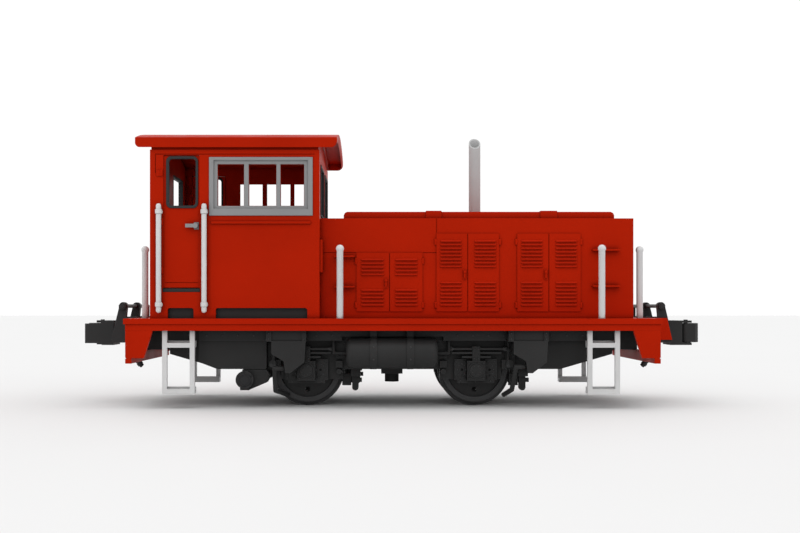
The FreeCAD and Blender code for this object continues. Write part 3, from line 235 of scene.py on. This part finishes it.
def machined(name, colour, roughness, stretch, **sockets):
    """Turned or drawn metal with fine lines along one direction."""
    material, tree, principled = shader(name, colour, roughness, Metallic=1.0, **sockets)
    lines = noise(tree, 900, 3, stretch)
    tree.links.new(spread(tree, lines, roughness - 0.08, roughness + 0.1),
                   principled.inputs["Roughness"])
    darker = [channel * 0.8 for channel in colour]
    tint(tree, principled, colour, darker, spread(tree, noise(tree, 60, 4), 0, 1))
    bump(tree, principled, lines, 0.3, 0.00002)
    return material


RED = (0.42, 0.0135, 0.0016)
BLACK = (0.031, 0.031, 0.031)
# Paler black painted along sharp edges as a highlight.
EDGE_HIGHLIGHT_BLACK = (0.060, 0.060, 0.061)
WEB_TONE = (0.020, 0.020, 0.020)
TYRE_TONE = (0.048, 0.048, 0.049)
LIGHT_GREY = (0.66, 0.66, 0.66)
MID_GREY = (0.27, 0.272, 0.276)

red = moulded("red_plastic", RED, 0.38, Specular_IOR_Level=0.02)
# Black plastic gets the painted edge highlight along its sharp edges.
black = moulded("black_plastic", BLACK, 0.45, grain=2200, relief=0.35, change=0.2,
                edge_highlight=EDGE_HIGHLIGHT_BLACK, Specular_IOR_Level=0.12)
grey = moulded("grey_plastic", MID_GREY, 0.45, Specular_IOR_Level=0.1)
pipe_grey = moulded("exhaust_plastic", (0.47, 0.47, 0.47), 0.45, Specular_IOR_Level=0.1)
light_grey = moulded("light_grey_plastic", LIGHT_GREY, 0.4, Specular_IOR_Level=0.15)
rubber = moulded("black_rubber", (0.034, 0.038, 0.040), 0.6, grain=3500, relief=0.4, Specular_IOR_Level=0.12)
steel = machined("steel", (0.55, 0.56, 0.58), 0.3, (1, 1, 0.05))
brass = machined("brass", (0.75, 0.52, 0.22), 0.28, (0.05, 1, 1))
blackened = moulded("blackened_metal", (0.024, 0.024, 0.025), 0.4, grain=1800, relief=0.4,
                    Specular_IOR_Level=0.15)
iron = moulded("cast_iron", (0.12, 0.12, 0.125), 0.6, grain=900, relief=0.6, Metallic=0.7)
rear_wheel = wheel_finish("rear_wheel_metal", REAR_AXLE)
front_wheel = wheel_finish("front_wheel_metal", FRONT_AXLE)
lens = moulded("lamp_lens", (0.72, 0.72, 0.68), 0.12, grain=500, relief=0.3, Transmission_Weight=0.5)

SLOT_MATERIALS = {
    "red_plastic": red, "black_plastic": black, "grey_plastic": grey, "light_grey_plastic": light_grey,
    "black_rubber": rubber, "steel": steel, "armature_iron": iron, "brass": brass,
    "blackened_metal": blackened, "ballast_iron": iron, "lamp_lens": lens,
}
OWN_MATERIAL = {"exhaust_stack": pipe_grey, "rear_wheels": rear_wheel, "front_wheels": front_wheel}
PLAIN_EDGES = {"rear_worm_wheel", "front_worm_wheel", "rear_worm", "front_worm", "motor_shaft"}


def dress_nodes():
    """Give every CAD node its material and softly rounded edges."""
    slots = {item["node"]: item["material_slot"] for item in frame["record"]["subparts"]}
    for name, node in NODES.items():
        material = OWN_MATERIAL.get(name, SLOT_MATERIALS[slots[name]])
        node.data.materials.clear()
        node.data.materials.append(material)
        if name not in PLAIN_EDGES:
            weld = node.modifiers.new("weld", "WELD")
            weld.merge_threshold = 0.002 * MM
            soften(node, 0.22)


def soften(piece, width, segments=2):
    """Round a piece's sharp edges by a small width in millimetres."""
    bevel = piece.modifiers.new("soft_edges", "BEVEL")
    bevel.width = width * MM
    bevel.segments = segments
    bevel.limit_method = "ANGLE"
    bevel.angle_limit = math.radians(40)
    bevel.use_clamp_overlap = True
    bevel.harden_normals = False
    return bevel


# ---- mesh building ----------------------------------------------------------------

class Detail:
    """One piece built up from small shapes, all sizes in millimetres."""

    def __init__(self, name):
        self.name = name
        self.mesh = bmesh.new()

    def block(self, x, y, z):
        """A box between limits on each axis."""
        corners = [Vector((a, b, c)) * MM for a in x for b in y for c in z]
        verts = [self.mesh.verts.new(corner) for corner in corners]
        for face in ((0, 1, 3, 2), (4, 6, 7, 5), (0, 4, 5, 1), (2, 3, 7, 6), (0, 2, 6, 4), (1, 5, 7, 3)):
            self.mesh.faces.new([verts[index] for index in face])

    def prism(self, outline, y):
        """An outline in the side plane, carried between two depths."""
        near = [self.mesh.verts.new(Vector((px, y[0], pz)) * MM) for px, pz in outline]
        far = [self.mesh.verts.new(Vector((px, y[1], pz)) * MM) for px, pz in outline]
        self.mesh.faces.new(near)
        self.mesh.faces.new(list(reversed(far)))
        count = len(outline)
        for index in range(count):
            after = (index + 1) % count
            self.mesh.faces.new((near[index], far[index], far[after], near[after]))

    def skin(self, rings):
        """Join rings of vertices, each to the next, and close both ends."""
        count = len(rings[0])
        for first, second in zip(rings, rings[1:]):
            for step in range(count):
                after = (step + 1) % count
                self.mesh.faces.new((first[step], first[after], second[after], second[step]))
        self.mesh.faces.new(list(reversed(rings[0])))
        self.mesh.faces.new(rings[-1])

    def lathe(self, centre, axis, profile, segments=24):
        """A turned shape: profile is (along, radius) pairs from one end to the other."""
        turn = Vector((0, 0, 1)).rotation_difference(Vector(axis)).to_matrix()
        rings = []
        for along, radius in profile:
            ring = []
            for step in range(segments):
                angle = 2 * math.pi * step / segments
                point = Vector((radius * math.cos(angle), radius * math.sin(angle), along))
                ring.append(self.mesh.verts.new((Vector(centre) + turn @ point) * MM))
            rings.append(ring)
        self.skin(rings)

    def bolt(self, centre, axis, radius=0.55, height=0.45):
        """A hexagon bolt head with a chamfered top."""
        profile = [(-0.05, radius), (height * 0.7, radius), (height, radius * 0.72)]
        self.lathe(centre, axis, profile, 6)

    def rivet(self, centre, axis, radius=0.4):
        """A domed rivet head."""
        profile = [(-0.05, radius), (radius * 0.35, radius * 0.9), (radius * 0.6, radius * 0.55),
                   (radius * 0.68, radius * 0.15)]
        self.lathe(centre, axis, profile, 10)

    def tube(self, points, radius, segments=12):
        """A smooth bent bar through points, in millimetres."""
        path = [Vector(point) for point in points]
        rings = []
        side = None
        for index, point in enumerate(path):
            ahead = (path[min(index + 1, len(path) - 1)] - path[max(index - 1, 0)]).normalized()
            if side is None:
                side = ahead.orthogonal().normalized()
            side = (side - ahead * side.dot(ahead)).normalized()
            other = ahead.cross(side)
            ring = []
            for step in range(segments):
                angle = 2 * math.pi * step / segments
                across = side * math.cos(angle) + other * math.sin(angle)
                ring.append(self.mesh.verts.new((point + radius * across) * MM))
            rings.append(ring)
        self.skin(rings)

    def done(self, material, body="chassis", rounding=0.12, smooth=False):
        """Make the object, round its edges, and let it ride on its body."""
        bmesh.ops.recalc_face_normals(self.mesh, faces=self.mesh.faces)
        data = bpy.data.meshes.new(self.name)
        self.mesh.to_mesh(data)
        self.mesh.free()
        piece = bpy.data.objects.new(self.name, data)
        bpy.context.scene.collection.objects.link(piece)
        data.materials.append(material)
        if smooth:
            for polygon in data.polygons:
                polygon.use_smooth = True
        if rounding:
            soften(piece, rounding)
        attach(piece, body)
        return piece


# ---- hood -------------------------------------------------------------------------

# Door leaves: louvre column, and the (lowest, highest) louvre centre and count of each block
SHORT_BLOCKS = ((52.6, 60.2, 5), (68.2, 75.8, 5))
TALL_BLOCKS = ((52.6, 64.0, 7), (72.3, 85.3, 8))
LOUVRE_COLUMNS = ((-16.4, -4.3, SHORT_BLOCKS), (1.1, 12.9, SHORT_BLOCKS),
                  (24.1, 35.5, TALL_BLOCKS), (41.6, 53.1, TALL_BLOCKS),
                  (65.5, 76.9, TALL_BLOCKS), (83.1, 94.4, TALL_BLOCKS))


# Louvre section as (up, out) pairs, and how full it is at each distance in from an end
LOUVRE_SECTION = ((0.62, -0.05), (0.42, 0.3), (-0.3, 0.72), (-0.5, 0.62), (-0.52, -0.05))
LOUVRE_END = ((0, 0.02), (0.25, 0.62), (0.7, 1))


def louvre(detail, side, x0, x1, z):
    """A pressed louvre: slopes out downwards, with a closed, rounded end at each side."""
    stations = [(x0 + inset, scale) for inset, scale in LOUVRE_END]
    stations += [(x1 - inset, scale) for inset, scale in reversed(LOUVRE_END)]
    rings = []
    for x, scale in stations:
        ring = []
        for up, out in LOUVRE_SECTION:
            y = side * (LEAF_FACE + max(out, 0) * scale + min(out, 0))
            corner = Vector((x, y, z + up * (0.5 + scale / 2)))
            ring.append(detail.mesh.verts.new(corner * MM))
        rings.append(ring)
    detail.skin(rings)


def hood_louvres():
    """The louvres of both hood sides, one piece a side."""
    for side, name in ((-1, "right"), (1, "left")):
        detail = Detail("hood_louvres_" + name)
        for x0, x1, blocks in LOUVRE_COLUMNS:
            for bottom, top, count in blocks:
                for number in range(count):
                    louvre(detail, side, x0, x1, bottom + (top - bottom) * number / (count - 1))
        detail.done(red, rounding=0)


def hood_fittings():
    """Door handles, hinges and climbing ledges on both hood sides."""
    for side, name in ((-1, "right"), (1, "left")):
        face = side * LEAF_FACE
        handles = Detail("hood_handles_" + name)
        for x, z in ((-3.4, 63.7), (36.8, 68.1), (78.3, 68.1)):
            handles.block((x - 1, x + 1), depths(side, LEAF_FACE - SEAT, LEAF_FACE + 0.35),
                          (z - 2.7, z + 2.7))
            handles.block((x - 0.45, x + 0.45), depths(side, LEAF_FACE, LEAF_FACE + 1.2), (z - 1.9, z + 2.1))
            handles.lathe((x, face, z + 1.2), (0, side, 0), [(0, 0.75), (1.3, 0.7), (1.5, 0.5)], 16)
        handles.done(red, rounding=0.15)
        hinges = Detail("hood_hinges_" + name)
        for x, top in ((-18.8, 75.0), (15.4, 75.0), (22.0, 84.8), (54.9, 84.8), (63.3, 84.8), (96.5, 84.8)):
            for z in (52.5, top):
                hinges.lathe((x, face - side * 0.3, z - 1.6), (0, 0, 1),
                             [(0, 0.45), (0.2, 0.7), (3.0, 0.7), (3.2, 0.45)], 16)
        hinges.done(red, rounding=0)
        ledges = Detail("hood_ledges_" + name)
        for x0, x1, heights in ((-30, -19.4, (77.3, 61.8)), (102, 115.8, (80.6, 62.1))):
            for z in heights:
                ledges.block((x0, x1), depths(side, HOOD_SIDE - SEAT, HOOD_SIDE + 3.2),
                             (z - 0.45, z + 0.45))
        ledges.done(red, rounding=0.12)


# ---- cab --------------------------------------------------------------------------

def cab_fittings():
    """Ledge under the windows, door keeps and hinges, handle plates and rail sockets."""
    for side, name in ((-1, "right"), (1, "left")):
        face = side * CAB_SIDE
        trim = Detail("cab_trim_" + name)
        trim.prism([(-91.6, 93.4), (-41.4, 93.4), (-41.4, 94.6), (-91.6, 94.6)],
                   depths(side, CAB_SIDE - SEAT, CAB_SIDE + 0.9))
        trim.block((-97.0, -96.4), depths(side, CAB_SIDE - SEAT, CAB_SIDE + 0.7), (90.5, 94.3))
        trim.done(red, rounding=0.2)
        plate = Detail("handle_plate_" + name)
        plate.block((-100.2, -97.8), depths(side, DOOR_FACE - SEAT, DOOR_FACE + 0.5),
                    (90.6, 94.2))
        for z in (91.1, 93.7):
            plate.rivet((-99.8, side * (DOOR_FACE + 0.5), z), (0, side, 0), 0.3)
        plate.done(grey, name + "_door", rounding=0.15)
        rings = Detail("rail_sockets_" + name)
        for x in (-117.6, -94.8):
            for z in (52.7, 99.4):
                rings.lathe((x, side * RAIL_Y, z - 1.1), (0, 0, 1),
                            [(0, 1.3), (0, 1.55), (0.2, 1.7), (2.0, 1.7), (2.2, 1.55), (2.2, 1.3)], 24)
                rings.lathe((x, face - side * 0.1, z), (0, side, 0), [(0, 1.7), (0.5, 1.7), (0.7, 1.4)],
                            24)
        rings.done(light_grey, rounding=0)
        hinges = Detail("door_hinges_" + name)
        for z in (70, 94.5, 119):
            hinges.block((-119.2, -116.4), depths(side, CAB_SIDE - SEAT, CAB_SIDE + 0.35),
                         (z - 1.6, z + 1.6))
            hinges.lathe((-116.5, face + side * 0.1, z - 1.8), (0, 0, 1),
                         [(0, 0.4), (0.2, 0.65), (3.4, 0.65), (3.6, 0.4)], 16)
        hinges.done(red, rounding=0.1)


# ---- underframe -------------------------------------------------------------------

AXLES = ((REAR_AXLE, -1), (FRONT_AXLE, 1))


def frame_bolts(bolts, side):
    """Bolt heads on the guide plates, spring hangers and axlebox faces."""
    out = (0, side, 0)
    for axle, away in AXLES:
        for dx in (-3.75, 3.75):
            for dz in (-4.1, 3.8):
                bolts.bolt((axle + dx, side * BOX_FACE, AXLE_HIGH + dz), out, 0.62, 0.5)
        for dx in (-9.9, -5.9, 5.9, 9.9):
            for z in (15.3, 23.4):
                bolts.bolt((axle + dx, side * GUIDE_FACE, z), out, 0.5, 0.45)
        for eye in (-7.1, 7.1):
            for step in range(9):
                angle = math.pi * (step / 4 - 0.5)
                bolts.rivet((axle + eye + 2.1 * math.cos(angle), side * GUIDE_FACE,
                             19.2 + 3.0 * math.sin(angle)), out, 0.42)
        for dx in (-19.3, -16.4):
            for z in (26.2, 32.9):
                bolts.bolt((axle + away * dx, side * GUIDE_FACE, z), out, 0.55, 0.45)
        for z in (20.6, 25.8, 32.9):
            bolts.bolt((axle + away * 19.1, side * GUIDE_FACE, z), out, 0.55, 0.45)
        for dx in (-7.6, 0, 7.6):
            bolts.bolt((axle + dx, side * GUIDE_FACE, 13.4), out, 0.45, 0.4)
        for step in range(8):
            angle = math.pi * (step + 0.5) / 4
            bolts.bolt((axle + 2.25 * math.cos(angle), side * LID_FACE,
                        AXLE_HIGH + 2.25 * math.sin(angle)), out, 0.3, 0.25)
        for z in (25.1, 30.0):
            for dx in (-1.1, 1.1):
                bolts.bolt((axle + dx, side * BOX_FACE, z), out, 0.42, 0.4)


def spring_ends(detail, side):
    """Rolled eyes and hanger pins where the leaf springs meet the frame."""
    face = high("leaf_springs").y - 0.4
    for axle, away in AXLES:
        for dx in (-12.7, 15.1):
            x = axle + away * dx
            detail.lathe((x, side * (GUIDE_FACE - 0.4), SPRING_PIN_Z), (0, side, 0),
                         [(0, 1.2), (face - GUIDE_FACE, 1.2), (face - GUIDE_FACE + 0.3, 0.9)], 18)
            detail.bolt((x, side * (face - 0.2), SPRING_PIN_Z), (0, side, 0), 0.55, 0.55)


def brake_rods(detail, side):
    """Adjusting rods that run down the frame beside each wheel."""
    for axle, away in AXLES:
        x = axle + away * 16.6
        y = side * (GUIDE_FACE + 1.0)
        detail.tube([(x, y, 20.4), (x, y, 27), (x, y, 34.5)], 0.7, 12)
        for z in (20.4, 28.6):
            detail.lathe((x, y, z), (0, 0, 1), [(0, 1.0), (0.2, 1.15), (1.2, 1.15), (1.4, 1.0)], 6)


def drain_valve(detail, side):
    """A small drain cock and its pipe behind the fuel tank."""
    y = side * (GUIDE_FACE + 0.9)
    detail.tube([(-64.0, y, 21.4), (-62.6, y, 21.6), (-61.6, y, 22.6), (-61.4, y, 24.4), (-61.4, y, 27)],
                0.55, 12)
    detail.lathe((-62.4, y - side * 0.9, 21.6), (0, side, 0), [(0, 1.1), (1.5, 1.1), (1.8, 0.7)], 12)


def cylinder_trim(detail, side):
    """Ring and cover bolts on the brake cylinder."""
    face = side * high("brake_gear").y
    detail.lathe((CYLINDER_X, face - side * SEAT, CYLINDER_Z), (0, side, 0),
                 [(0, 3.3), (0.35, 3.3), (0.45, 3.1), (0.45, 2.7), (0.2, 2.5)], 32)
    for step in range(6):
        angle = math.pi * (step + 0.5) / 3
        x = CYLINDER_X + 3.85 * math.cos(angle)
        z = CYLINDER_Z + 3.85 * math.sin(angle)
        detail.bolt((x, face, z), (0, side, 0), 0.45, 0.4)


def sandbox_trim(detail, side):
    """Bracket bolts beside the sandboxes."""
    out = (0, side, 0)
    for x in (-61.3, 60.9):
        for dx in (-1.3, 16.5):
            for z in (35.4, 38.2):
                detail.bolt((x + dx, side * SANDBOX_FACE, z), out, 0.45, 0.4)


def tank_trim(detail, side):
    """Tightening bolts on the air reservoir straps."""
    reach = TANK_FACE - TANK_AXIS_Y
    for x in (-9.75, 8.85):
        for z in (31.2, 25.2):
            rise = z - TANK_AXIS_Z
            y = side * (TANK_AXIS_Y + math.sqrt(reach ** 2 - rise ** 2))
            detail.bolt((x, y - side * 0.25, z), (0, side, rise / reach), 0.5, 0.6)


def underframe_fittings():
    """Bolts, rivets, spring eyes, rods and valves on both side frames."""
    for side, name in ((-1, "right"), (1, "left")):
        bolts = Detail("frame_bolts_" + name)
        frame_bolts(bolts, side)
        for x in range(-95, 100, 8):
            if abs(x) > 27:
                bolts.rivet((x, side * SOLEBAR_FACE, 36.9), (0, side, 0), 0.5)
        sandbox_trim(bolts, side)
        ring = Detail("cylinder_ring_" + name)
        cylinder_trim(ring, side)
        ring.done(blackened, rounding=0)
        tank_trim(bolts, side)
        bolts.done(black, rounding=0)
        pins = Detail("spring_pins_" + name)
        spring_ends(pins, side)
        pins.done(black, rounding=0)
        rods = Detail("frame_rods_" + name)
        brake_rods(rods, side)
        drain_valve(rods, side)
        rods.done(black, rounding=0)


# ---- ends -------------------------------------------------------------------------

def end_fittings():
    """Headstock rivets and hose couplings, the same at both ends."""
    for end, name in ((-1, "rear"), (1, "front")):
        beam = end * BEAM_FACE
        out = (end, 0, 0)
        rivets = Detail(name + "_beam_rivets")
        for y in (-43, -36, -29, 29, 36, 43):
            for z in (36.6, 40.9):
                rivets.rivet((beam, y, z), out, 0.6)
        for y in (-43, -31, -19, 19, 31, 43):
            rivets.rivet((beam, y, 27.3), out, 0.45)
        rivets.done(red, rounding=0)
        hoses = Detail(name + "_hose_ends")
        hoses.lathe((end * HOSE_END_X, HOSE_Y, 21.9), (-end * 0.75, 0, -0.75),
                    [(0, 1.3), (0.2, 1.6), (1.6, 1.6), (1.8, 1.25), (2.6, 1.25), (2.8, 0.9)], 16)
        hoses.lathe((end * HOSE_TOP_X, HOSE_Y, 30.6), (0, 0, 1),
                    [(0, 1.2), (0.1, 1.7), (1.5, 1.7), (1.7, 1.45), (1.9, 1.45)], 6)
        hoses.done(blackened, rounding=0)


def lamp_rims():
    """Bezels and lenses of the marker lamps on the hood front and the cab rear."""
    rims = Detail("lamp_rims")
    glass = Detail("lamp_glasses")
    for y in (-29.5, 29.5):
        for x, side_y, z, end in ((high("hood_body").x, y, 90.5, 1), (CAB_REAR, y * 1.3, 92, -1)):
            rims.lathe((x - end * 0.1, side_y, z), (end, 0, 0),
                       [(0, 3.0), (0, 3.4), (0.5, 3.4), (0.65, 3.25), (0.65, 2.7), (0.5, 2.55)], 32)
            glass.lathe((x + end * 0.35, side_y, z), (end, 0, 0),
                        [(0, 2.5), (0.15, 2.4), (0.25, 1.7), (0.3, 0.8)], 32)
    rims.done(black, rounding=0)
    glass.done(lens, rounding=0, smooth=True)


hood_louvres()
hood_fittings()
cab_fittings()
underframe_fittings()
end_fittings()
lamp_rims()
dress_nodes()


# ---- stage ------------------------------------------------------------------------

FLOOR_TONE = (0.70, 0.70, 0.70)


def floor():
    """A wide, pale, matt table top."""
    size = 6.0
    data = bpy.data.meshes.new("floor")
    corners = [(-size, -size, 0), (size, -size, 0), (size, size, 0), (-size, size, 0)]
    data.from_pydata(corners, [], [(0, 1, 2, 3)])
    piece = bpy.data.objects.new("floor", data)
    bpy.context.scene.collection.objects.link(piece)
    material, tree, principled = shader("floor_white", FLOOR_TONE, 0.9)
    faint = spread(tree, noise(tree, 9, 4), 0, 1)
    tint(tree, principled, FLOOR_TONE, [tone * 0.992 for tone in FLOOR_TONE], faint)
    principled.inputs["Specular IOR Level"].default_value = 0.0
    data.materials.append(material)


def area_light(name, place, target, size, watts):
    """A round soft light aimed at a point; lengths in metres."""
    light = bpy.data.lights.new(name, "AREA")
    light.shape = "DISK"
    light.size = size
    light.energy = watts
    lamp = bpy.data.objects.new(name, light)
    lamp.location = place
    lamp.rotation_euler = (Vector(target) - Vector(place)).to_track_quat("-Z", "Y").to_euler()
    bpy.context.scene.collection.objects.link(lamp)


CAMERA_LENS = 49.05
CAMERA_BACK = 0.545
CAMERA_X = -0.0075
CAMERA_HIGH = 0.0515
BACKDROP_LIGHT = 1.03
HORIZON_LIGHT = 0.5
ZENITH_LIGHT = 1.75


def studio():
    """Soft light, strongest overhead and dimmer at the horizon, with plain white world light from behind as
    a backdrop.
    """
    world = bpy.data.worlds.new("studio")
    bpy.context.scene.world = world
    world.use_nodes = True
    back = world.node_tree.nodes["Background"]
    back.inputs["Color"].default_value = (1, 1, 1, 1)
    tree = world.node_tree
    place = tree.nodes.new("ShaderNodeTexCoord")
    split = tree.nodes.new("ShaderNodeSeparateXYZ")
    tree.links.new(place.outputs["Generated"], split.inputs["Vector"])
    overhead = ramp(tree, split.outputs["Z"], (0.0, 0.9), (HORIZON_LIGHT, ZENITH_LIGHT))
    backdrop = ramp(tree, split.outputs["Y"], (0.1, 0.5), (0, 1))
    mix = tree.nodes.new("ShaderNodeMix")
    mix.inputs["B"].default_value = BACKDROP_LIGHT
    tree.links.new(backdrop, mix.inputs["Factor"])
    tree.links.new(overhead, mix.inputs["A"])
    tree.links.new(mix.outputs["Result"], back.inputs["Strength"])
    area_light("key", (-0.9, -1.2, 1.5), (0, 0, 0.05), 1.0, 0.6)


def camera():
    """Square on to the right-hand side, near running-board height."""
    data = bpy.data.cameras.new("camera")
    data.sensor_width = 36
    data.lens = CAMERA_LENS
    data.shift_x = 0.0275
    data.shift_y = 0.0506
    data.clip_start = 0.01
    view = bpy.data.objects.new("camera", data)
    view.location = (CAMERA_X, -BOARD_EDGE * MM - CAMERA_BACK, CAMERA_HIGH)
    view.rotation_euler = (math.radians(90), 0, 0)
    bpy.context.scene.collection.objects.link(view)
    bpy.context.scene.camera = view


floor()
studio()
camera()
bpy.context.scene.view_settings.view_transform = "Standard"
